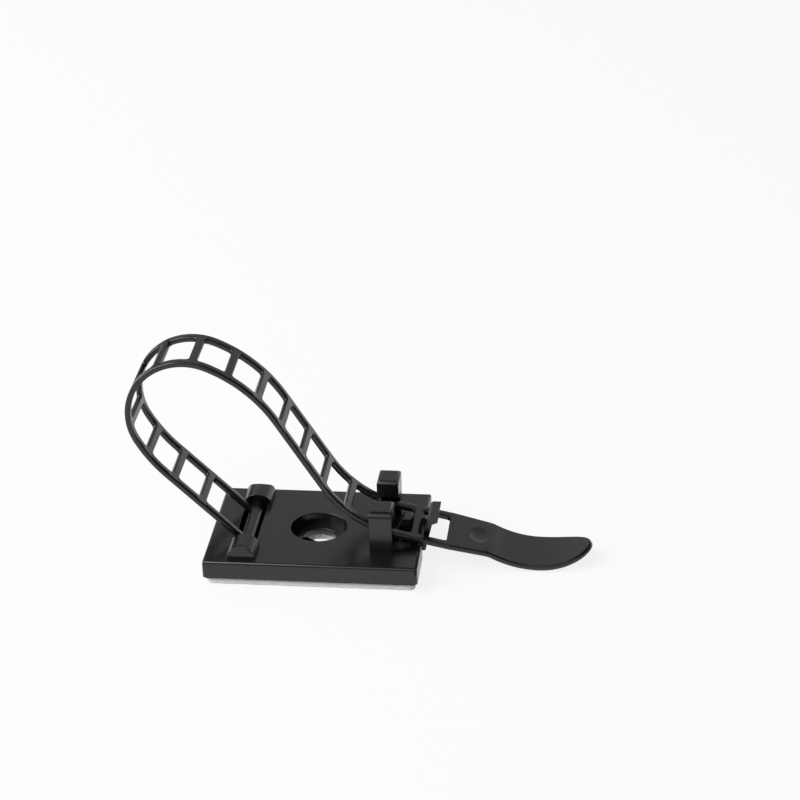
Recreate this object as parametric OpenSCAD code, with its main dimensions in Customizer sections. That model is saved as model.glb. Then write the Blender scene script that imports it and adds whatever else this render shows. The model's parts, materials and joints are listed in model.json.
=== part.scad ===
// Adjustable cable clamp: a one-piece nylon moulding, shown closed, on its adhesive foam pad.
// A ladder strap leaves a torsion bar in the base, loops over the cable, runs down under two hooks
// and drops a window over the tooth of a spring tongue. Pressing the lever at the end frees it.
// Origin: on the axis of the screw hole, at the underside of the pad. +X runs from hinge to latch.

/* [Base] */
// Length of the base plate, along X
base_l = 28; // [24:0.5:44]
// Width of the base plate, along Y
base_w = 20; // [19:0.5:34]
// Thickness of the base plate
base_t = 2.45; // [2:0.05:4]
// Radius along the upper edges of the base
base_edge = 0.45; // [0.1:0.05:0.8]
// Radius of the upright corners of the base
base_corner = 0.5; // [0.1:0.05:2]

/* [Screw hole] */
// Diameter of the screw hole
screw_d = 4.4; // [3:0.1:5]
// Diameter of the round recess for the head of the screw
recess_d = 7.4; // [5.6:0.1:8]
// Depth of the recess, from the top of the base
recess_h = 1.5; // [0.8:0.1:1.6]

/* [Adhesive pad] */
// Thickness of the foam pad
pad_t = 1; // [0.6:0.1:2]
// Distance from the edge of the base to the edge of the pad
pad_inset = 0.4; // [0.2:0.1:2]
// Corner radius of the pad
pad_corner = 0.8; // [0.2:0.1:3]
// Diameter of the hole punched through the pad for the screw
pad_hole_d = 5.4; // [5.1:0.1:8]

/* [Hinge] */
// Distance from the end of the base to the axis of the torsion bar
hinge_inset = 5; // [4:0.1:6]
// Diameter of the torsion bar
bar_d = 2; // [1.4:0.1:2.4]
// Height of the bar above the top of the base
bar_rise = 0.55; // [0.2:0.05:0.9]
// Gap between the bar and the base on the side of the screw hole
bar_gap_in = 0.3; // [0.2:0.05:0.6]
// Gap between the bar and the base on the side of the strap
bar_gap_out = 0.55; // [0.3:0.05:1]
// Clear distance from the side of the strap to each lug
lug_gap = 0.9; // [0.4:0.1:1.4]
// Width of a hinge lug, along X
lug_w = 3.7; // [3:0.1:4]
// Length of a hinge lug, along Y
lug_l = 3.8; // [2.4:0.1:4]
// Height of a hinge lug above the base
lug_h = 1.6; // [1:0.1:2.4]
// Radius of the crown of a hinge lug
lug_crown_r = 2.2; // [2.1:0.1:5]
// Length of the sloped outer end of a hinge lug
lug_hip_l = 0.75; // [0.3:0.05:1.2]
// Drop of the sloped outer end of a hinge lug
lug_hip_h = 0.55; // [0.2:0.05:0.8]

/* [Strap] */
// Width over both rails of the strap
strap_w = 8.6; // [7.6:0.1:9.2]
// Thickness of the strap
strap_t = 0.75; // [0.5:0.05:1.2]
// Width of a rail
rail_w = 1.05; // [0.7:0.05:1.4]
// Width of a rung, along the strap
rung_w = 0.84; // [0.5:0.02:1.4]
// Distance from rung to rung
rung_pitch = 4.8; // [4.4:0.05:5.6]
// Corner radius of a window
window_r = 0.4; // [0.1:0.05:0.8]
// Shortest first window, from the axis of the bar
root_window = 6; // [4:0.1:8]

/* [Loop] */
// Angle at which the strap leaves the bar, from +X
lift_angle = 135.7; // [130:0.1:140]
// Length of the straight run above the hinge
rise_l = 14; // [11:0.1:17]
// Radius of the slight bend above the hinge
shoulder_r = 20; // [14:0.5:30]
// Turn of the slight bend above the hinge
shoulder_turn = 17.4; // [10:0.1:24]
// Turn of the tight bend at the far end of the loop
crown_turn = 141.4; // [132:0.1:150]
// Radius of the bend that follows it
brow_r = 18.7; // [13:0.1:24]
// Steepness of the straight run down to the latch
fall_angle = 58; // [52:0.1:64]
// Radius of the bend into the latch
dip_r = 15.3; // [11:0.1:19]
// Slope of the strap where it passes under the hooks
entry_angle = 26.8; // [22:0.1:31]
// Slope of the strap beyond the hooks
latch_slope = 12.4; // [10:0.1:15]

/* [Tail] */
// Width of the tail beyond its heel
tail_w = 7.8; // [7:0.1:8.4]
// Length of the tail, from the last window to the tip
tail_l = 19.6; // [17:0.1:22]
// Length of the flat heel between the last window and the bend of the tail
heel_l = 5.1; // [4.8:0.1:6.5]
// Radius of the bend below the heel
drop_r = 3.6; // [2:0.1:8]
// Radius at which the tail turns up again
tail_r = 13.1; // [10:0.1:18]
// Clear height under the tail
tail_clear = 0.16; // [0.1:0.02:0.5]
// Length of the rounded end of the tail
tail_end_l = 6.6; // [4:0.1:9]
// Distance from the last window to the oval dimple
dimple_at = 3.5; // [1.8:0.1:3.8]
// Length of the oval dimple, along Y
dimple_l = 3.9; // [2:0.1:4.5]
// Width of the oval dimple, along the strap
dimple_w = 2.6; // [1.4:0.1:2.6]
// Depth of the oval dimple
dimple_d = 0.25; // [0.1:0.05:0.4]

/* [Latch] */
// Distance from the end of the base to the hooks
hook_inset = 3.6; // [3.4:0.1:5]
// Length of the hook on the -Y side, along X
front_hook_l = 3; // [2:0.1:3.4]
// Length of the hook on the +Y side, along X
back_hook_l = 2.9; // [2:0.1:3.4]
// Height of a hook above the base
hook_h = 5.75; // [4.8:0.05:7]
// Height of the opening under a hook
hook_open = 3.3; // [3.1:0.05:3.6]
// Thickness of the post of a hook
hook_wall = 1.7; // [1:0.05:2.4]
// Distance from the middle of the strap to the free end of a hook
hook_reach = 2.35; // [1.6:0.05:3]
// Radius of the outer shoulder of a hook
hook_round = 0.9; // [0.2:0.05:0.9]
// Chamfer along the ends of the hook's upper face
hook_chamfer = 0.35; // [0.1:0.05:0.6]
// Clear distance from the strap to the hooks and to the tooth
fit = 0.15; // [0.1:0.01:0.25]
// Clear distance from each side of the strap to the posts
side_gap = 0.25; // [0.15:0.05:0.6]
// How far the core holes run past the hooks, along X
core_margin = 0.1; // [0.1:0.05:0.5]
// How far the core holes run past the free ends of the hooks
core_reach = 0.3; // [0.1:0.05:0.4]

/* [Spring tongue] */
// Width of the tongue and the release lever
tongue_w = 5.4; // [4.4:0.1:5.8]
// Thickness of the tongue
tongue_t = 1.5; // [0.8:0.05:1.8]
// Width of the slots beside the tongue
tongue_slot = 0.45; // [0.3:0.05:0.8]
// Distance from the hooks to the catching face of the tooth
tooth_run = 2; // [1.8:0.05:2.4]
// Height of the tooth above the base
tooth_h = 2.2; // [1.7:0.05:2.6]
// Length of the flat on top of the tooth
tooth_flat = 1.1; // [0.4:0.1:1.4]
// Length of the ramp of the tooth
tooth_ramp = 1.1; // [0.6:0.1:1.6]
// Width of the tooth
tooth_w = 2.1; // [1.4:0.1:2.4]
// Distance from the end of the base to the outer face of the lever, at the top of the base
lever_out = 0.7; // [0.5:0.05:1.1]
// Angle at which the lever leans out
lever_lean = 13.4; // [0:0.1:18]
// Thickness of the lever, along X
lever_t = 0.75; // [0.6:0.05:1]
// Height of the lever above the base
lever_h = 2.9; // [2.4:0.1:4]
// Length of the lip along the top of the lever
lip_l = 0.72; // [0.3:0.02:1]
// Height of the lip where it leaves the lever
lip_h = 0.5; // [0.3:0.05:0.9]
// Thickness of the lip at its edge
lip_edge = 0.2; // [0.1:0.05:0.25]
// Chamfer along the inner top edge of the lever
lever_chamfer = 0.3; // [0.1:0.05:0.5]

/* [Hidden] */
$fn = 72;

// Overlap that joins one region of the moulding to the next
weld = 0.4;
// How far a cutter runs past the face that it cuts
through = 1;
// Number of straight steps in a small rounded edge
edge_steps = 5;
// Number of straight steps in half of the tail's rounded end
tip_steps = 18;
// Largest turn of one straight step in a bend of the strap
bend_step = 4;

// Levels
base_z = pad_t;
top_z = base_z + base_t;

// Hinge
hinge_x = -base_l / 2 + hinge_inset;
bar_r = bar_d / 2;
bar_z = top_z + bar_rise - bar_r;
lug_in = strap_w / 2 + lug_gap;
lug_out = lug_in + lug_l;

// Latch
hook_x1 = base_l / 2 - hook_inset;
hook_x0 = hook_x1 - max(front_hook_l, back_hook_l);
post_in = strap_w / 2 + side_gap;
post_out = post_in + hook_wall;
core_x0 = hook_x0 - core_margin;
core_x1 = hook_x1 + core_margin;
core_in = hook_reach - core_reach;
tooth_x = hook_x1 + tooth_run;

// Strap path in X and Z, as [x, z, heading] poses joined by [length, turn] stretches
hinge_pose = [hinge_x, bar_z, lift_angle];
entry_pose = [
    hook_x0,
    top_z + hook_open - fit - strap_t / 2 / cos(entry_angle),
    -entry_angle
];
brow_turn = lift_angle - shoulder_turn - crown_turn + fall_angle;
rise = [rise_l, 0];
shoulder = [arc_length(shoulder_r, shoulder_turn), -shoulder_turn];
brow = [arc_length(brow_r, brow_turn), -brow_turn];
dip = [arc_length(dip_r, fall_angle - entry_angle), fall_angle - entry_angle];
settle = [arc_length(dip_r, entry_angle - latch_slope), entry_angle - latch_slope];

// The tight bend and the run down to the latch take up what the rest leaves between hinge and hooks
before_crown = advance(advance(hinge_pose, rise), shoulder);
unit_crown = advance([0, 0, before_crown[2]], [arc_length(1, crown_turn), -crown_turn]);
over_brow = advance([0, 0, unit_crown[2]], brow);
into_latch = advance([0, 0, -fall_angle], dip);
span = entry_pose - before_crown - over_brow - into_latch;
span_det = -unit_crown[0] * sin(fall_angle) - unit_crown[1] * cos(fall_angle);
crown_r = (-span[0] * sin(fall_angle) - span[1] * cos(fall_angle)) / span_det;
fall_l = (unit_crown[0] * span[1] - unit_crown[1] * span[0]) / span_det;
crown = [arc_length(crown_r, crown_turn), -crown_turn];

// Rungs are counted back from the one that the tooth holds
loop = [rise, shoulder, crown, brow, [fall_l, 0], dip, settle];
latch_pose = advance(entry_pose, settle);
held_x = tooth_x + fit + rung_w / 2 * cos(latch_slope);
held_s = total(loop) + (held_x - latch_pose[0]) / cos(latch_slope);
rung_count = floor((held_s - root_window) / rung_pitch);
window_w = strap_w - 2 * rail_w;
window_l = rung_pitch - rung_w;
first_s = held_s - rung_count * rung_pitch;
root_l = first_s - rung_w / 2;

// The tail bends down beyond its heel by as much as brings its lowest point to its clear height
heel_s = held_s + rung_pitch - rung_w / 2;
ladder = concat(loop, [[heel_s - total(loop), 0]]);
heel_pose = along(hinge_pose, ladder, heel_s);
heel_end_z = heel_pose[1] - heel_l * sin(latch_slope);
tail_low = strap_t / 2 + tail_clear;
dive_cos = (tail_low - heel_end_z + drop_r * cos(latch_slope) + tail_r) / (drop_r + tail_r);
drop_turn = acos(dive_cos) - latch_slope;
drop = [arc_length(drop_r, drop_turn), -drop_turn];
upturn_l = tail_l - heel_l - drop[0];
tail = [[heel_l, 0], drop, [upturn_l, upturn_l / tail_r * 180 / PI]];
tip_x = along(heel_pose, tail, tail_l)[0];

// Length of an arc
function arc_length(r, turn) = r * turn * PI / 180;

// Sum of the lengths of a list of stretches, from stretch i on
function total(path, i = 0) = i == len(path) ? 0 : path[i][0] + total(path, i + 1);

// Pose at the far end of one straight or curved stretch
function advance(p, part) =
    part[1] == 0
        ? [p[0] + part[0] * cos(p[2]), p[1] + part[0] * sin(p[2]), p[2]]
        : let (r = part[0] / part[1] * 180 / PI, a = p[2] + part[1])
            [p[0] + r * (sin(a) - sin(p[2])), p[1] - r * (cos(a) - cos(p[2])), a];

// Pose at distance s along a path that starts at pose p
function along(p, path, s, i = 0) =
    i == len(path) - 1 || s <= path[i][0]
        ? advance(p, [s, path[i][1] * s / path[i][0]])
        : along(advance(p, path[i]), path, s - path[i][0], i + 1);

// Poses along a path, close enough together to follow its bends
function poses(p, path) = concat(
    [for (i = 0, q = p; i < len(path); q = advance(q, path[i]), i = i + 1)
        let (steps = max(1, ceil(abs(path[i][1]) / bend_step)))
        for (j = [0:steps - 1]) advance(q, path[i] * j / steps)],
    [along(p, path, total(path))]
);

// Point at height h over the middle of the strap
function over(p, h) = [p[0] - h * sin(p[2]), p[1] + h * cos(p[2])];

// Points of an arc about c, from angle a0 to a1
function arc(c, r, a0, a1, steps) =
    [for (i = [0:steps]) c + r * [cos(a0 + (a1 - a0) * i / steps), sin(a0 + (a1 - a0) * i / steps)]];

// Rectangle about the origin with four round corners
module round_rect(l, w, r) {
    polygon(concat(
        arc([l / 2 - r, w / 2 - r], r, 0, 90, edge_steps),
        arc([r - l / 2, w / 2 - r], r, 90, 180, edge_steps),
        arc([r - l / 2, r - w / 2], r, 180, 270, edge_steps),
        arc([l / 2 - r, r - w / 2], r, 270, 360, edge_steps)
    ));
}

// Upright section of a plate that stands on y = 0, with its two upper corners round
module crowned_section(w, h, r) {
    polygon(concat(
        [[-w / 2, 0], [w / 2, 0]],
        arc([w / 2 - r, h - r], r, 0, 90, edge_steps),
        arc([r - w / 2, h - r], r, 90, 180, edge_steps)
    ));
}

// Section in X and Z, drawn out along Y to both sides
module along_y(w) {
    rotate([90, 0, 0]) linear_extrude(height = w, center = true) children();
}

// Section in Y and Z, drawn out along X to both sides
module along_x(l) {
    rotate([90, 0, 90]) linear_extrude(height = l, center = true) children();
}

// Moves children to a pose of the path, with their X along the strap
module at(p) {
    translate([p[0], 0, p[1]]) rotate([0, -p[2], 0]) children();
}

// Side of the strap and its tail as one outline
module strap_section() {
    middle = poses(hinge_pose, concat(ladder, tail));
    polygon(concat(
        [for (p = middle) over(p, strap_t / 2)],
        [for (i = [len(middle) - 1:-1:0]) over(middle[i], -strap_t / 2)]
    ));
}

module window(s, l) {
    at(along(hinge_pose, ladder, s))
        linear_extrude(height = 2 * (strap_t + through), center = true)
        round_rect(l, window_w, window_r);
}

// Oval hollow, turned about an axis along Y
module dimple() {
    axis_h = (dimple_w * dimple_w / 4 - dimple_d * dimple_d) / (2 * dimple_d);
    belly_r = (dimple_l * dimple_l / 4 + dimple_d * dimple_d) / (2 * dimple_d);
    translate([0, 0, axis_h])
        rotate([90, 0, 0])
        rotate_extrude()
        intersection() {
            translate([axis_h + dimple_d - belly_r, 0]) circle(r = belly_r);
            translate([0, -dimple_l]) square([2 * belly_r, 2 * dimple_l]);
        }
}

// What the elliptical end leaves of the square end of the tail
module tip_trim() {
    end_x = tip_x - tail_end_l;
    half = tail_w / 2;
    translate([0, 0, -through]) linear_extrude(height = tail_l) polygon(concat(
        [for (i = [-tip_steps:tip_steps])
            let (a = 90 * i / tip_steps)
            [end_x + tail_end_l * cos(a), half * sin(a)]],
        [
            [end_x, half + through],
            [tip_x + through, half + through],
            [tip_x + through, -half - through],
            [end_x, -half - through]
        ]
    ));
}

// What the narrowing heel and tail leave of one side of the strap
module heel_trim(side) {
    step = (strap_w - tail_w) / 2;
    linear_extrude(height = tail_l, center = true) polygon([
        [-heel_l, side * (strap_w / 2 + step)],
        [heel_l, side * tail_w / 2],
        [tail_l, side * tail_w / 2],
        [tail_l, side * strap_w],
        [-heel_l, side * strap_w]
    ]);
}

// Ladder strap from the torsion bar, over the loop and through the latch, with its finger tail
module strap() {
    difference() {
        along_y(strap_w) strap_section();
        window(root_l / 2, root_l);
        for (i = [0:rung_count]) {
            window(first_s + (i + 0.5) * rung_pitch, window_l);
        }
        at(heel_pose) {
            translate([dimple_at, 0, strap_t / 2]) dimple();
            for (side = [-1, 1]) {
                heel_trim(side);
            }
        }
        tip_trim();
    }
}

// Half-round lug that carries one end of the torsion bar, on the +Y side
module lug() {
    intersection() {
        translate([hinge_x, (lug_in + lug_out) / 2, top_z]) along_y(lug_l) intersection() {
            translate([0, lug_h - lug_crown_r]) circle(r = lug_crown_r);
            translate([-lug_w / 2, -weld]) square([lug_w, lug_h + weld]);
        }
        translate([hinge_x, 0, top_z]) along_x(2 * lug_w) polygon([
            [lug_in, -weld],
            [lug_out, -weld],
            [lug_out, lug_h - lug_hip_h],
            [lug_out - lug_hip_l, lug_h],
            [lug_in, lug_h]
        ]);
    }
}

// Hook of length l that bends over one rail of the strap, on the +Y side
module hook(l) {
    translate([hook_x1 - l / 2, 0, top_z]) intersection() {
        along_x(l) polygon(concat(
            [[post_in, hook_open], [post_in, -weld], [post_out, -weld]],
            arc([post_out - hook_round, hook_h - hook_round], hook_round, 0, 90, edge_steps),
            [
                [hook_reach + hook_chamfer, hook_h],
                [hook_reach, hook_h - hook_chamfer],
                [hook_reach, hook_open]
            ]
        ));
        along_y(2 * post_out + through) polygon([
            [-l / 2, -weld],
            [l / 2, -weld],
            [l / 2, hook_h - hook_chamfer],
            [l / 2 - hook_chamfer, hook_h],
            [hook_chamfer - l / 2, hook_h],
            [-l / 2, hook_h - hook_chamfer]
        ]);
    }
}

// Spring tongue from its neck between the core holes to the release lever
module tongue() {
    wide_x = core_x1 + tongue_slot;
    outer = [for (z = [-tongue_t, lever_h - lip_h, lever_h]) base_l / 2 + lever_out + z * tan(lever_lean)];
    inner_z = lever_h - lever_chamfer;
    inner_x = base_l / 2 + lever_out - lever_t;
    translate([core_x0 - weld, -core_in, top_z - tongue_t])
        cube([wide_x - core_x0 + 2 * weld, 2 * core_in, tongue_t]);
    translate([0, 0, top_z]) along_y(tongue_w) polygon([
        [wide_x, -tongue_t],
        [outer[0], -tongue_t],
        [outer[1], lever_h - lip_h],
        [outer[1] + lip_l, lever_h - lip_edge],
        [outer[1] + lip_l, lever_h],
        [outer[2] - lever_t + lever_chamfer, lever_h],
        [inner_x + inner_z * tan(lever_lean), inner_z],
        [inner_x, 0],
        [wide_x, 0]
    ]);
    translate([tooth_x, 0, top_z]) along_y(tooth_w) polygon([
        [-tooth_flat - tooth_ramp, -weld],
        [0, -weld],
        [0, tooth_h],
        [-tooth_flat, tooth_h],
        [-tooth_flat - tooth_ramp, 0]
    ]);
}

module base_plate() {
    translate([0, 0, base_z]) intersection() {
        linear_extrude(height = base_t) round_rect(base_l, base_w, base_corner);
        along_y(base_w) crowned_section(base_l, base_t, base_edge);
        along_x(base_l) crowned_section(base_w, base_t, base_edge);
    }
}

// Screw hole with the round recess for the screw's head
module screw_hole() {
    translate([0, 0, base_z - through]) cylinder(d = screw_d, h = base_t + 2 * through);
    translate([0, 0, top_z - recess_h]) cylinder(d = recess_d, h = recess_h + through);
}

// Slot in the base that lets the torsion bar turn
module bar_slot() {
    translate([hinge_x - bar_r - bar_gap_out, -lug_in, base_z - through])
        cube([bar_d + bar_gap_out + bar_gap_in, 2 * lug_in, base_t + 2 * through]);
}

// Holes under the hooks, and the free space round the spring tongue
module latch_openings() {
    free_h = base_t + 2 * through;
    slot_half = tongue_w / 2 + tongue_slot;
    translate([core_x0, -post_in, base_z - through]) cube([core_x1 - core_x0, 2 * post_in, free_h]);
    translate([core_x1 - weld, -slot_half, base_z - through])
        cube([base_l / 2 - core_x1 + weld + through, 2 * slot_half, free_h]);
}

module clamp() {
    color([0.09, 0.095, 0.09]) {
        difference() {
            base_plate();
            screw_hole();
            bar_slot();
            latch_openings();
        }
        translate([hinge_x, 0, bar_z])
            rotate([90, 0, 0])
            cylinder(d = bar_d, h = 2 * (lug_in + weld), center = true);
        for (side = [0, 1]) {
            mirror([0, side, 0]) {
                lug();
                hook(side == 0 ? back_hook_l : front_hook_l);
            }
        }
        tongue();
        strap();
    }
}

module adhesive_pad() {
    color([0.93, 0.93, 0.9]) linear_extrude(height = pad_t) difference() {
        round_rect(base_l - 2 * pad_inset, base_w - 2 * pad_inset, pad_corner);
        circle(d = pad_hole_d);
    }
}

clamp();
adhesive_pad();
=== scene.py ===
import json
import math

import bpy
from mathutils import Matrix, Vector

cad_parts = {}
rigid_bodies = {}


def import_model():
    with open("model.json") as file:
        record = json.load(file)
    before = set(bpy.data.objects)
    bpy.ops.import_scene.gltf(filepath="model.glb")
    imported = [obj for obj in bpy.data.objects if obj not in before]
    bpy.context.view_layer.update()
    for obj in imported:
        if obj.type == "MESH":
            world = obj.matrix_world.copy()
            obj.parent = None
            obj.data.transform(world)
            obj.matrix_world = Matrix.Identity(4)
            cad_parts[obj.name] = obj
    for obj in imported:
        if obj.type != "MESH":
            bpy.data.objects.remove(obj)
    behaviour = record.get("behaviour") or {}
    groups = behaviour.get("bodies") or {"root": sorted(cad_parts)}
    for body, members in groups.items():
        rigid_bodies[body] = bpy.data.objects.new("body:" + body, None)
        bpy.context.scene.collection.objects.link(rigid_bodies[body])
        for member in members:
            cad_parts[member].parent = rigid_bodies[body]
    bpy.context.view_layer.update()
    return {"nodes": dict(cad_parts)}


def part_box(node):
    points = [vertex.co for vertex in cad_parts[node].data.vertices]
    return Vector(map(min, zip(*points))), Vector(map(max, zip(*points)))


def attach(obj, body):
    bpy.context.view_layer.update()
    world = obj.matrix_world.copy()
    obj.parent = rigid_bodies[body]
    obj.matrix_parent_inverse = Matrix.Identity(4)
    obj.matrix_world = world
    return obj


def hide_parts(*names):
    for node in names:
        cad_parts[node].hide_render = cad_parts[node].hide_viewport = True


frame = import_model()
scene = bpy.context.scene
mm = 0.001              # settings are in millimetres and degrees unless they say otherwise
sameSpot = 0.01         # places closer than this count as one
samePlane = 0.001       # and heights closer than this as one plane
smoothing = {"angle": 35, "flatShare": 90}      # how far faces blend, and how much the large flat ones hold


# small helpers for working as in the window

def activate(obj):
    bpy.ops.object.select_all(action="DESELECT")
    obj.select_set(True)
    bpy.context.view_layer.objects.active = obj


def enter():
    bpy.ops.object.mode_set(mode="EDIT")


def leave():
    bpy.ops.object.mode_set(mode="OBJECT")


def pick(obj, kind, test):
    # selects the vertices, edges or faces that pass the test, and stays in edit mode
    enter()
    bpy.ops.mesh.select_mode(type=kind)
    bpy.ops.mesh.select_all(action="DESELECT")
    leave()
    parts = {"VERT": obj.data.vertices, "EDGE": obj.data.edges, "FACE": obj.data.polygons}[kind]
    for part in parts:
        part.select = test(part)
    enter()


def middle(obj, part):
    corners = [obj.data.vertices[i].co for i in part.vertices]
    return sum(corners, Vector()) / len(corners)


def useModifier(obj, kind, **values):
    activate(obj)
    modifier = obj.modifiers.new(kind.lower(), kind)
    for name, value in values.items():
        setattr(modifier, name, value)
    bpy.ops.object.modifier_apply(modifier=modifier.name)


def cutAlong(obj, places, normal):
    # one bisect per place, through the whole mesh
    activate(obj)
    enter()
    bpy.ops.mesh.select_mode(type="VERT")
    for place in places:
        bpy.ops.mesh.select_all(action="SELECT")
        bpy.ops.mesh.bisect(plane_co=place, plane_no=normal)
    leave()


def resizeWhole(obj, factor):
    # pieces are modelled with a millimetre as the unit and brought to metres when done
    activate(obj)
    enter()
    bpy.ops.mesh.select_all(action="SELECT")
    bpy.ops.transform.resize(value=(factor, factor, factor), center_override=(0, 0, 0))
    leave()


def smoothFaces(obj):
    activate(obj)
    bpy.ops.object.shade_smooth_by_angle(angle=math.radians(smoothing["angle"]))
    useModifier(obj, "WEIGHTED_NORMAL", weight=smoothing["flatShare"], keep_sharp=True)


# ladder strap: modelled flat along X, then bent along its closed loop
strap = {
    "width": 8.6, "thickness": 0.75, "rail": 1.2, "rung": 1.1, "pitch": 4.8,
    "windowCorner": 0.4, "windowRows": 4, "cells": 15,
    "root": 8.117,              # from the hinge's axis to the first rung
    "start": 0.3,               # the strap begins this far from the axis, inside the torsion bar
    "tailWidth": 7.8, "heel": 5.52, "straightTail": 12.08,
    "tipLength": 6.95, "tipRows": 12, "tipHalf": 0.25,
    "dimpleAt": 4.1, "dimple": (2.6, 3.9, 0.25), "dimpleRows": 48,
    "rimReach": 0.3,            # takes in the dimple's rim, which is at 0.25
    "edge": 0.22, "edgeRows": 3, "edgeAngle": 50,
    "bendRow": 0.4, "bendStep": 1.5,
    "hinge": (-9.0, 3.0), "lift": 135.7,
    # stretches as (length, 0) or (radius, turn)
    "path": ((14.0, 0), (20.0, -17.4), (7.6235, -141.4), (18.7, -34.9), (10.868, 0),
             (15.3, 45.6), (11.474, 0), (3.6, -15.773), (13.1, 59.084)),
}


def ladderCell(start, end, rail, margin):
    # flat rectangle with one round-cornered window
    width = strap["width"]
    bpy.ops.object.select_all(action="DESELECT")
    bpy.ops.mesh.primitive_plane_add(size=1, location=((start + end) / 2, 0, 0))
    cell = bpy.context.object
    enter()
    bpy.ops.transform.resize(value=(end - start, width, 1))
    bpy.ops.mesh.inset(thickness=margin)
    bpy.ops.transform.resize(value=(1, (width - 2 * rail) / (width - 2 * margin), 1))
    bpy.ops.mesh.delete(type="FACE")
    leave()
    # the rim is left as two plain halves, so that nothing small lies in the way of its rounding
    cutAlong(cell, [cell.location], (1, 0, 0))
    for side in (-1, 1):
        pick(cell, "FACE", lambda face: face.center.x * side > 0)
        bpy.ops.mesh.dissolve_faces(use_verts=False)
        leave()
    pick(cell, "VERT", lambda v: abs(v.co.y) < width / 2 - margin and abs(v.co.x) > margin)
    bpy.ops.mesh.bevel(offset=strap["windowCorner"], segments=strap["windowRows"], affect="VERTICES")
    leave()
    bpy.ops.object.transform_apply(location=True, rotation=True, scale=True)
    return cell


def drawTail(ladder, start):
    # the end edge of the ladder is drawn out, row by row, into the heel and the round tail
    half = strap["width"] / 2
    tailHalf = strap["tailWidth"] / 2
    rows = [(strap["heel"], tailHalf), (strap["straightTail"] - strap["heel"], tailHalf)]
    for i in range(strap["tipRows"]):
        near = math.radians(90 * i / strap["tipRows"])
        far = math.radians(90 * (i + 1) / strap["tipRows"])
        step = strap["tipLength"] * (math.sin(far) - math.sin(near))
        rows.append((step, max(tailHalf * math.cos(far), strap["tipHalf"])))
    pick(ladder, "EDGE", lambda edge: middle(ladder, edge).x > start - sameSpot)
    for step, nextHalf in rows:
        bpy.ops.mesh.extrude_region_move(TRANSFORM_OT_translate={"value": (step, 0, 0)})
        bpy.ops.transform.resize(value=(1, nextHalf / half, 1))
        half = nextHalf
    leave()
    tip = max(v.co.x for v in ladder.data.vertices)

    def isRow(edge):
        near, far = (ladder.data.vertices[i].co.x for i in edge.vertices)
        return abs(near - far) < samePlane and start + sameSpot < near < tip - samePlane

    # the cross rows go again, so that heel and tail are one clean face
    pick(ladder, "EDGE", isRow)
    bpy.ops.mesh.dissolve_edges(use_verts=False)
    leave()


def loopCurve():
    # the strap's middle line, as a flat curve stood up into the XZ plane
    x, z = strap["hinge"]
    heading = math.radians(strap["lift"])
    points = [(x, z)]
    for size, turn in strap["path"]:
        bend = math.radians(turn)
        steps = 1 if turn == 0 else max(2, math.ceil(abs(turn) / strap["bendStep"]))
        length = size if turn == 0 else size * abs(bend)
        for i in range(steps):
            heading += bend / steps / 2
            chord = length / steps if turn == 0 else 2 * size * math.sin(abs(bend) / steps / 2)
            x += chord * math.cos(heading)
            z += chord * math.sin(heading)
            heading += bend / steps / 2
            points.append((x, z))
    data = bpy.data.curves.new("strapLoop", "CURVE")
    data.dimensions = "2D"
    line = data.splines.new("POLY")
    line.points.add(len(points) - 1)
    for point, (px, pz) in zip(line.points, points):
        point.co = (px, pz, 0, 1)
    curve = bpy.data.objects.new("strapLoop", data)
    curve.rotation_euler = (math.radians(90), 0, 0)
    scene.collection.objects.link(curve)
    return curve


def makeStrap():
    rail = strap["rail"]
    margin = strap["rung"] / 2
    root = strap["root"]
    pitch = strap["pitch"]
    end = root + strap["cells"] * pitch
    rootCell = ladderCell(-margin, root, rail, margin)
    ladder = ladderCell(root, root + pitch, rail, margin)
    useModifier(ladder, "ARRAY", count=strap["cells"], use_merge_vertices=True, merge_threshold=sameSpot)
    drawTail(ladder, end)
    rootCell.select_set(True)
    bpy.ops.object.join()
    enter()
    bpy.ops.mesh.select_all(action="SELECT")
    bpy.ops.mesh.remove_doubles(threshold=sameSpot)
    bpy.ops.mesh.bisect(plane_co=(strap["start"], 0, 0), plane_no=(1, 0, 0), clear_inner=True)
    leave()
    useModifier(ladder, "SOLIDIFY", thickness=strap["thickness"], offset=0)

    # the oval dimple in the heel, cut with a flattened ball
    rows = strap["dimpleRows"]
    bpy.ops.mesh.primitive_uv_sphere_add(segments=rows, ring_count=rows // 2, radius=1)
    oval = bpy.context.object
    top = strap["thickness"] / 2
    length, width, depth = strap["dimple"]
    ball = (width * width / 4 + depth * depth) / (2 * depth)      # radius that leaves this depth
    at = end - margin + strap["dimpleAt"]
    enter()
    bpy.ops.transform.resize(value=(ball * length / width, ball, ball))
    bpy.ops.transform.translate(value=(at, 0, top + ball - depth))
    leave()
    useModifier(ladder, "BOOLEAN", operation="DIFFERENCE", object=oval, solver="EXACT")
    bpy.data.objects.remove(oval)

    def onRim(index):
        place = ladder.data.vertices[index].co
        reach = ((place.x - at) / length) ** 2 + (place.y / width) ** 2
        return abs(place.z - top) < samePlane and reach < strap["rimReach"]

    pick(ladder, "EDGE", lambda edge: all(onRim(i) for i in edge.vertices))
    bpy.ops.mesh.mark_sharp()
    leave()

    # rounded edges, then cross rows close enough to bend along the loop
    useModifier(ladder, "BEVEL", width=strap["edge"], segments=strap["edgeRows"], limit_method="ANGLE",
                angle_limit=math.radians(strap["edgeAngle"]), use_clamp_overlap=False)
    tip = max(v.co.x for v in ladder.data.vertices)
    row = strap["bendRow"]
    cutAlong(ladder, [(i * row, 0, 0) for i in range(1, int(tip / row) + 1)], (1, 0, 0))
    curve = loopCurve()
    useModifier(ladder, "CURVE", object=curve, deform_axis="POS_X")
    bpy.data.objects.remove(curve)
    return ladder


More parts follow.
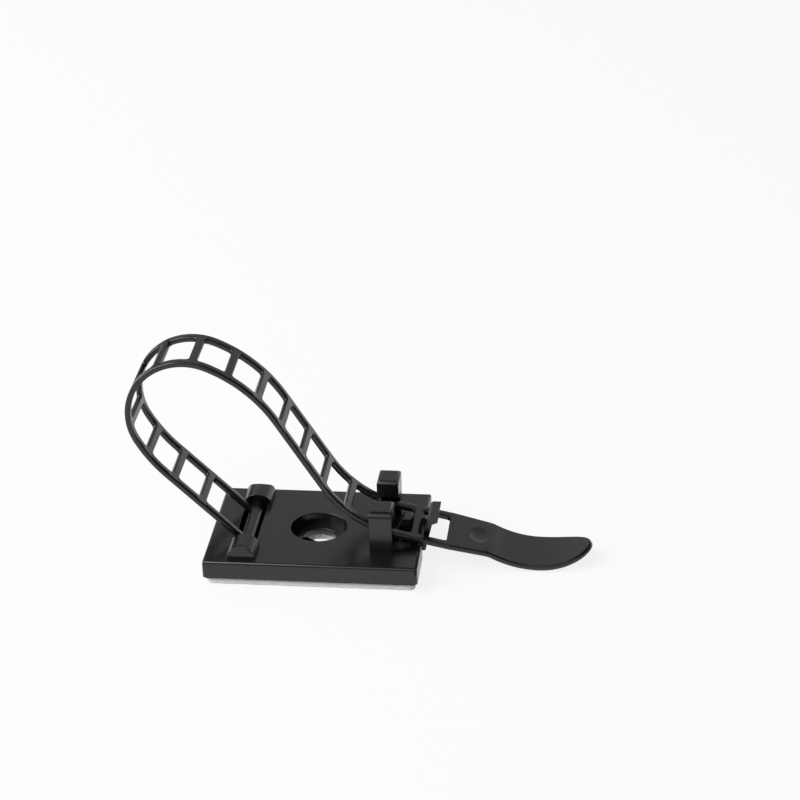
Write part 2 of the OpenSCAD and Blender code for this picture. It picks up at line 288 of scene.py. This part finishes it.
# base, lugs, hooks and spring tongue: a copy of the solid without its strap, with softened edges
base = {
    "bar": (-9.0, 3.0), "barRadius": 1.0, "barSlack": 0.02, "lugFace": 5.2,
    "weld": 0.002, "sliver": 0.035, "speck": 0.01,        # what is merged or dissolved as too small
    "flat": 1, "sharpest": 32,                            # faces that make one plane, edges that get softened
    "edge": 0.12, "edgeRows": 3,
    "cornerX": 13.3, "cornerY": 9.3, "cornerZ": 1.5,      # the plate's upper corners are round already
    "lipX": 15.0, "lipZ": 5.2, "lipShare": 0.5,           # finer edges on the release lever's lip
    "lugX": -6.5, "lugY": 5.0, "lugZ": 4.0, "lugShare": 0.8,
    "rimX": 13.95, "rimY": 9.95, "rimShare": 0.18,        # crisp edges round the plate's outline
}


def dropStrap(obj):
    # the torsion bar and everything beyond it goes, and a whole bar is put back between the two lugs
    x, z = base["bar"]

    def barReach(place):
        return math.hypot(place.x - x, place.z - z)

    def onBar(index):
        place = obj.data.vertices[index].co
        onSurface = abs(barReach(place) - base["barRadius"]) < base["barSlack"]
        return onSurface and abs(place.y) < base["lugFace"]

    pick(obj, "EDGE", lambda edge: all(onBar(i) for i in edge.vertices))
    bpy.ops.mesh.mark_seam(clear=False)
    leave()
    top = max(face.center.z for face in obj.data.polygons)
    pick(obj, "FACE", lambda face: face.center.z > top - samePlane)
    bpy.ops.mesh.select_linked(delimit={"SEAM"})
    bpy.ops.mesh.delete(type="FACE")
    leave()
    pick(obj, "FACE", lambda face: barReach(face.center) < base["barRadius"] + sameSpot
         and abs(face.center.y) < base["lugFace"] - sameSpot)
    bpy.ops.mesh.delete(type="FACE")
    bpy.ops.mesh.select_mode(type="EDGE")
    bpy.ops.mesh.select_all(action="DESELECT")
    bpy.ops.mesh.select_non_manifold(extend=False)
    bpy.ops.mesh.bridge_edge_loops()
    leave()


def edgeShare(ends):
    # how much of the full edge rounding an edge takes
    place = (ends[0] + ends[1]) / 2
    for end in ends:
        if abs(end.x) > base["cornerX"] and abs(end.y) > base["cornerY"] and end.z > base["cornerZ"]:
            return 0.0
    if abs(place.x) > base["rimX"] or abs(place.y) > base["rimY"]:
        return base["rimShare"]
    if place.x > base["lipX"] and place.z > base["lipZ"]:
        return base["lipShare"]
    if place.x < base["lugX"] and abs(place.y) > base["lugY"] and place.z > base["lugZ"]:
        return base["lugShare"]
    return 1.0


def isHollow(edge, sides):
    # an inner corner, told by where the smaller of its two faces lies
    small, large = sorted(sides, key=lambda face: face.area)
    return large.normal.dot(small.center - edge) > 0


def softenEdges(obj):
    # outer edges only: inner corners stay crisp
    pick(obj, "EDGE", lambda edge: False)
    bpy.ops.mesh.edges_select_sharp(sharpness=math.radians(base["sharpest"]))
    leave()
    sides = {}
    for face in obj.data.polygons:
        for key in face.edge_keys:
            sides.setdefault(key, []).append(face)
    weights = obj.data.attributes.new("bevel_weight_edge", "FLOAT", "EDGE")
    for edge in obj.data.edges:
        if edge.select and not isHollow(middle(obj, edge), sides[edge.key]):
            weights.data[edge.index].value = edgeShare([obj.data.vertices[i].co for i in edge.vertices])
    useModifier(obj, "BEVEL", width=base["edge"], segments=base["edgeRows"],
                limit_method="WEIGHT", use_clamp_overlap=False)


def makeBase():
    obj = bpy.data.objects.new("clampMoulding", frame["nodes"]["clamp"].data.copy())
    scene.collection.objects.link(obj)
    resizeWhole(obj, 1 / mm)
    enter()
    bpy.ops.mesh.remove_doubles(threshold=base["weld"])
    leave()
    dropStrap(obj)
    enter()
    bpy.ops.mesh.select_all(action="SELECT")
    bpy.ops.mesh.remove_doubles(threshold=base["sliver"])
    bpy.ops.mesh.dissolve_degenerate(threshold=base["speck"])
    bpy.ops.mesh.dissolve_limited(angle_limit=math.radians(base["flat"]))
    bpy.ops.mesh.normals_make_consistent(inside=False)
    leave()
    softenEdges(obj)
    return obj


# foam pad: a die-cut sheet, a little fuller at half its height than at its two faces
pad = {
    "corner": 0.8, "cornerRows": 6, "hole": 5.4, "holeRows": 64, "rows": 5, "bulge": 0.05,
    "edge": 0.06, "edgeRows": 2, "edgeAngle": 50,
}


def makePad():
    low, high = (Vector(corner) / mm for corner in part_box("adhesive_pad"))
    size = high - low
    bpy.ops.object.select_all(action="DESELECT")
    bpy.ops.mesh.primitive_cube_add(size=1)
    obj = bpy.context.object
    obj.name = "foamPad"
    enter()
    bpy.ops.transform.resize(value=size)
    bpy.ops.transform.translate(value=(low + high) / 2)
    leave()
    pick(obj, "EDGE", lambda edge: abs(middle(obj, edge).z - (low.z + high.z) / 2) < sameSpot)
    bpy.ops.mesh.bevel(offset=pad["corner"], segments=pad["cornerRows"], affect="EDGES")
    leave()
    through = 4 * size.z
    bpy.ops.mesh.primitive_cylinder_add(vertices=pad["holeRows"], radius=pad["hole"] / 2, depth=through)
    punch = bpy.context.object
    useModifier(obj, "BOOLEAN", operation="DIFFERENCE", object=punch, solver="EXACT")
    bpy.data.objects.remove(punch)
    useModifier(obj, "BEVEL", width=pad["edge"], segments=pad["edgeRows"], limit_method="ANGLE",
                angle_limit=math.radians(pad["edgeAngle"]), use_clamp_overlap=False)
    levels = [low.z + size.z * (i + 1) / (pad["rows"] + 1) for i in range(pad["rows"])]
    cutAlong(obj, [(0, 0, level) for level in levels], (0, 0, 1))
    for level in levels:
        fullness = math.sin(math.pi * (level - low.z) / size.z) * pad["bulge"]
        pick(obj, "VERT", lambda v: abs(v.co.z - level) < sameSpot and v.co.xy.length > pad["hole"])
        bpy.ops.transform.resize(value=(1 + 2 * fullness / size.x, 1 + 2 * fullness / size.y, 1))
        leave()
    return obj


ladder = makeStrap()
print("strap bent:", len(ladder.data.polygons), "faces")
clamp = makeBase()
print("base softened:", len(clamp.data.polygons), "faces")
useModifier(clamp, "BOOLEAN", operation="UNION", object=ladder, solver="MANIFOLD")
bpy.data.objects.remove(ladder)
foam = makePad()
for piece in (clamp, foam):
    resizeWhole(piece, mm)
    smoothFaces(piece)
print("moulding and pad:", len(clamp.data.polygons), len(foam.data.polygons), "faces")


# shader helpers

def newMaterial(name):
    material = bpy.data.materials.new(name)
    material.use_nodes = True
    material.node_tree.nodes.clear()
    return material


def addNode(tree, kind, **sockets):
    node = tree.nodes.new(kind)
    for name, value in sockets.items():
        node.inputs[name.replace("_", " ")].default_value = value
    return node


def wire(tree, source, output, target, socket):
    tree.links.new(source.outputs[output], target.inputs[socket])


def setRamp(node, stops):
    ramp = node.color_ramp
    while len(ramp.elements) < len(stops):
        ramp.elements.new(1.0)
    for element, (place, shade) in zip(ramp.elements, stops):
        element.position = place
        element.color = (shade, shade, shade, 1)


def mathNode(tree, operation, second=None):
    node = tree.nodes.new("ShaderNodeMath")
    node.operation = operation
    if second is not None:
        node.inputs[1].default_value = second
    return node


def openGroup(name, inlets, outlets):
    group = bpy.data.node_groups.new(name, "ShaderNodeTree")
    for label, kind in inlets:
        group.interface.new_socket(label, in_out="INPUT", socket_type=kind)
    for label in outlets:
        group.interface.new_socket(label, in_out="OUTPUT", socket_type="NodeSocketFloat")
    return group, group.nodes.new("NodeGroupInput"), group.nodes.new("NodeGroupOutput")


# effects that both materials use
effects = {
    "grainDetail": 3.0, "grainRoughness": 0.55,
    "cloudDetail": 4.0, "cloudRoughness": 0.6, "cloudTwist": 0.4, "cloudStops": ((0.32, 0.0), (0.68, 1.0)),
    "edgeStops": ((0.5, 0.0), (0.62, 1.0)),
}


def grainGroup():
    # fine even grain for a bump, and a slow cloud for colour and gloss
    group, inlet, outlet = openGroup("surfaceGrain", (
        ("Place", "NodeSocketVector"), ("Grain Scale", "NodeSocketFloat"), ("Cloud Scale", "NodeSocketFloat"),
    ), ("Grain", "Cloud"))
    grain = addNode(group, "ShaderNodeTexNoise", Detail=effects["grainDetail"],
                    Roughness=effects["grainRoughness"])
    cloud = addNode(group, "ShaderNodeTexNoise", Detail=effects["cloudDetail"],
                    Roughness=effects["cloudRoughness"], Distortion=effects["cloudTwist"])
    spread = group.nodes.new("ShaderNodeValToRGB")
    setRamp(spread, effects["cloudStops"])
    wire(group, inlet, "Place", grain, "Vector")
    wire(group, inlet, "Grain Scale", grain, "Scale")
    wire(group, inlet, "Place", cloud, "Vector")
    wire(group, inlet, "Cloud Scale", cloud, "Scale")
    wire(group, cloud, "Fac", spread, "Fac")
    wire(group, grain, "Fac", outlet, "Grain")
    wire(group, spread, "Color", outlet, "Cloud")
    return group


def edgeGroup():
    # mask of the outer edges, where handling polishes or soils them
    group, inlet, outlet = openGroup("handledEdges", (("Cloud", "NodeSocketFloat"),), ("Mask",))
    shape = group.nodes.new("ShaderNodeNewGeometry")
    ramp = group.nodes.new("ShaderNodeValToRGB")
    setRamp(ramp, effects["edgeStops"])
    broken = mathNode(group, "MULTIPLY")
    wire(group, shape, "Pointiness", ramp, "Fac")
    wire(group, ramp, "Color", broken, 0)
    wire(group, inlet, "Cloud", broken, 1)
    wire(group, broken, "Value", outlet, "Mask")
    return group


surfaceGrain = grainGroup()
handledEdges = edgeGroup()
mixSocket = {"share": 0, "first": 6, "second": 7, "result": 2}      # of a mix node that mixes colours


def placeGroup(tree, group, **values):
    node = tree.nodes.new("ShaderNodeGroup")
    node.node_tree = group
    for name, value in values.items():
        node.inputs[name.replace("_", " ")].default_value = value
    return node


def mixColour(tree, dark, light):
    node = tree.nodes.new("ShaderNodeMix")
    node.data_type = "RGBA"
    node.inputs[mixSocket["first"]].default_value = (*dark, 1)
    node.inputs[mixSocket["second"]].default_value = (*light, 1)
    return node


# satin black nylon
nylon = {
    "dark": (0.0040, 0.0043, 0.0042), "light": (0.0062, 0.0072, 0.0069),
    "edge": (0.009, 0.010, 0.0097),
    "grain": 7000.0, "cloud": 260.0, "bump": 0.16, "bumpDepth": 0.02,
    "roughness": (0.20, 0.29), "specular": 0.55, "refraction": 1.53,
}


def nylonMaterial():
    material = newMaterial("satinNylon")
    tree = material.node_tree
    place = tree.nodes.new("ShaderNodeTexCoord")
    grain = placeGroup(tree, surfaceGrain, Grain_Scale=nylon["grain"], Cloud_Scale=nylon["cloud"])
    edges = placeGroup(tree, handledEdges)
    body = mixColour(tree, nylon["dark"], nylon["light"])
    worn = mixColour(tree, (0, 0, 0), nylon["edge"])
    smoothest, roughest = nylon["roughness"]
    gloss = addNode(tree, "ShaderNodeMapRange", To_Min=smoothest, To_Max=roughest)
    bump = addNode(tree, "ShaderNodeBump", Strength=nylon["bump"], Distance=nylon["bumpDepth"] * mm)
    shader = tree.nodes.new("ShaderNodeBsdfPrincipled")
    shader.inputs["Specular IOR Level"].default_value = nylon["specular"]
    shader.inputs["IOR"].default_value = nylon["refraction"]
    out = tree.nodes.new("ShaderNodeOutputMaterial")
    wire(tree, place, "Object", grain, "Place")
    wire(tree, grain, "Cloud", edges, "Cloud")
    wire(tree, grain, "Cloud", body, mixSocket["share"])
    wire(tree, edges, "Mask", worn, mixSocket["share"])
    wire(tree, body, mixSocket["result"], worn, mixSocket["first"])
    wire(tree, worn, mixSocket["result"], shader, "Base Color")
    wire(tree, grain, "Cloud", gloss, "Value")
    wire(tree, gloss, "Result", shader, "Roughness")
    wire(tree, grain, "Grain", bump, "Height")
    wire(tree, bump, "Normal", shader, "Normal")
    wire(tree, shader, "BSDF", out, "Surface")
    return material


# white closed-cell foam, its outer sides carrying painted shade that greys them towards the top, under the
# base's overhang
cellFoam = {
    "light": (0.95, 0.95, 0.93), "dark": (0.87, 0.87, 0.85), "soil": (0.60, 0.59, 0.55),
    # painted shade: colour and depth of the darkening on the pad's outer sides towards the top, where the
    # base overhangs them
    "paintedOverhangShade": (0.32, 0.32, 0.30), "paintedOverhangShadeDepth": 0.65,
    "grain": 5200.0, "cloud": 420.0, "cells": 3600.0, "bump": 0.5, "bumpDepth": 0.06,
    "roughness": (0.75, 0.92), "specular": 0.25,
}


def foamMaterial():
    material = newMaterial("cellFoam")
    tree = material.node_tree
    low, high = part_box("adhesive_pad")
    place = tree.nodes.new("ShaderNodeTexCoord")
    grain = placeGroup(tree, surfaceGrain, Grain_Scale=cellFoam["grain"], Cloud_Scale=cellFoam["cloud"])
    body = mixColour(tree, cellFoam["dark"], cellFoam["light"])
    edges = placeGroup(tree, handledEdges)
    # painted shade: greys the outer sides towards the top, under the base's overhang, but not the wall of the
    # hole
    paintedOverhangShade = mixColour(tree, (1, 1, 1), cellFoam["paintedOverhangShade"])
    soiled = mixColour(tree, (1, 1, 1), cellFoam["soil"])
    split = tree.nodes.new("ShaderNodeSeparateXYZ")
    height = addNode(tree, "ShaderNodeMapRange", From_Min=low[2], From_Max=high[2])
    fade = tree.nodes.new("ShaderNodeValToRGB")
    depth = cellFoam["paintedOverhangShadeDepth"] * mm / (high[2] - low[2])
    setRamp(fade, ((1 - depth, 0.0), (1.0, 1.0)))
    reach = tree.nodes.new("ShaderNodeVectorMath")
    reach.operation = "LENGTH"
    outer = mathNode(tree, "GREATER_THAN", pad["hole"] * mm)      # not on the wall of the hole
    shade = mathNode(tree, "MULTIPLY")
    cells = addNode(tree, "ShaderNodeTexVoronoi", Scale=cellFoam["cells"])
    relief = mathNode(tree, "ADD")
    smoothest, roughest = cellFoam["roughness"]
    gloss = addNode(tree, "ShaderNodeMapRange", To_Min=smoothest, To_Max=roughest)
    bump = addNode(tree, "ShaderNodeBump", Strength=cellFoam["bump"], Distance=cellFoam["bumpDepth"] * mm)
    shader = tree.nodes.new("ShaderNodeBsdfPrincipled")
    shader.inputs["Specular IOR Level"].default_value = cellFoam["specular"]
    out = tree.nodes.new("ShaderNodeOutputMaterial")
    wire(tree, place, "Object", grain, "Place")
    wire(tree, place, "Object", cells, "Vector")
    wire(tree, place, "Object", split, "Vector")
    wire(tree, split, "Z", height, "Value")
    wire(tree, height, "Result", fade, "Fac")
    wire(tree, place, "Object", reach, 0)
    wire(tree, reach, "Value", outer, 0)
    wire(tree, fade, "Color", shade, 0)
    wire(tree, outer, "Value", shade, 1)
    wire(tree, grain, "Cloud", body, mixSocket["share"])
    wire(tree, shade, "Value", paintedOverhangShade, mixSocket["share"])
    wire(tree, body, mixSocket["result"], paintedOverhangShade, mixSocket["first"])
    wire(tree, grain, "Cloud", edges, "Cloud")
    wire(tree, edges, "Mask", soiled, mixSocket["share"])
    wire(tree, paintedOverhangShade, mixSocket["result"], soiled, mixSocket["first"])
    wire(tree, soiled, mixSocket["result"], shader, "Base Color")
    wire(tree, cells, "Distance", relief, 0)
    wire(tree, grain, "Grain", relief, 1)
    wire(tree, relief, "Value", bump, "Height")
    wire(tree, bump, "Normal", shader, "Normal")
    wire(tree, grain, "Cloud", gloss, "Value")
    wire(tree, gloss, "Result", shader, "Roughness")
    wire(tree, shader, "BSDF", out, "Surface")
    return material


def dress(obj, material, node):
    obj.data.materials.clear()
    obj.data.materials.append(material)
    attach(obj, "root")
    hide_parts(node)


dress(clamp, nylonMaterial(), "clamp")
dress(foam, foamMaterial(), "adhesive_pad")
print("materials on")


# white table, lamps and sky
studio = {
    "floorSize": 6.0, "floorDrop": 0.02, "floorColour": (0.9, 0.9, 0.9, 1), "floorGlow": 0.85,
    "sky": (1.0, 1.0, 1.0, 1), "skyStrength": 0.06,
    # place and aim in metres, size in metres, power in watts
    "lamps": (
        ("keyLamp", (-0.58, -0.12, 0.54), (0.0, 0.0, 0.01), 0.90, 8.8),
        ("frontPanel", (-0.10, -0.60, 0.70), (0.0, 0.0, 0.01), 0.80, 1.75),
        ("backPanel", (0.02, 0.90, 0.45), (0.0, 0.0, 0.01), 1.20, 1.3),
        ("rimPanel", (0.42, 0.86, 0.10), (0.0, 0.0, 0.01), 0.30, 0.18),
    ),
}


def makeFloor():
    bpy.ops.object.select_all(action="DESELECT")
    level = -studio["floorDrop"] * mm
    bpy.ops.mesh.primitive_plane_add(size=studio["floorSize"], location=(0, 0, level))
    obj = bpy.context.object
    obj.name = "whiteTable"
    material = newMaterial("whiteTable")
    tree = material.node_tree
    plain = addNode(tree, "ShaderNodeBsdfDiffuse", Color=studio["floorColour"])
    glow = addNode(tree, "ShaderNodeEmission", Strength=1.0)
    path = tree.nodes.new("ShaderNodeLightPath")
    seen = mathNode(tree, "MAXIMUM")
    alsoSeen = mathNode(tree, "MAXIMUM")
    share = mathNode(tree, "MULTIPLY", studio["floorGlow"])
    mix = tree.nodes.new("ShaderNodeMixShader")
    out = tree.nodes.new("ShaderNodeOutputMaterial")
    wire(tree, path, "Is Camera Ray", seen, 0)
    wire(tree, path, "Is Glossy Ray", seen, 1)
    wire(tree, seen, "Value", alsoSeen, 0)
    wire(tree, path, "Is Transmission Ray", alsoSeen, 1)
    wire(tree, alsoSeen, "Value", share, 0)
    wire(tree, share, "Value", mix, 0)
    wire(tree, plain, "BSDF", mix, 1)
    wire(tree, glow, "Emission", mix, 2)
    wire(tree, mix, "Shader", out, "Surface")
    obj.data.materials.append(material)


def makeLamps():
    for name, place, aim, size, power in studio["lamps"]:
        data = bpy.data.lights.new(name, "AREA")
        data.shape = "DISK"
        data.size = size
        data.energy = power
        lamp = bpy.data.objects.new(name, data)
        lamp.location = place
        lamp.rotation_euler = (Vector(aim) - Vector(place)).to_track_quat("-Z", "Y").to_euler()
        scene.collection.objects.link(lamp)
    world = bpy.data.worlds.new("studioSky")
    world.use_nodes = True
    sky = world.node_tree.nodes["Background"]
    sky.inputs["Color"].default_value = studio["sky"]
    sky.inputs["Strength"].default_value = studio["skyStrength"]
    scene.world = world


# camera at the photograph's angle, for a square picture
view = {
    "place": (44.97, -286.14, 169.67), "aim": (11.18, 0.0, 22.58), "roll": -1.426,
    "lens": 113.7, "sensor": 36.0, "clip": (0.01, 20.0),      # the two ends of what it sees, in metres
}


def makeCamera():
    data = bpy.data.cameras.new("photoCamera")
    data.sensor_width = view["sensor"]
    data.lens = view["lens"]
    data.clip_start, data.clip_end = view["clip"]
    camera = bpy.data.objects.new("photoCamera", data)
    place = Vector(view["place"]) * mm
    turn = (Vector(view["aim"]) * mm - place).to_track_quat("-Z", "Y").to_matrix().to_4x4()
    roll = Matrix.Rotation(math.radians(view["roll"]), 4, "Z")
    camera.matrix_world = Matrix.Translation(place) @ turn @ roll
    scene.collection.objects.link(camera)
    scene.camera = camera


makeFloor()
makeLamps()
makeCamera()
scene.view_settings.view_transform = "Standard"
print("studio set")
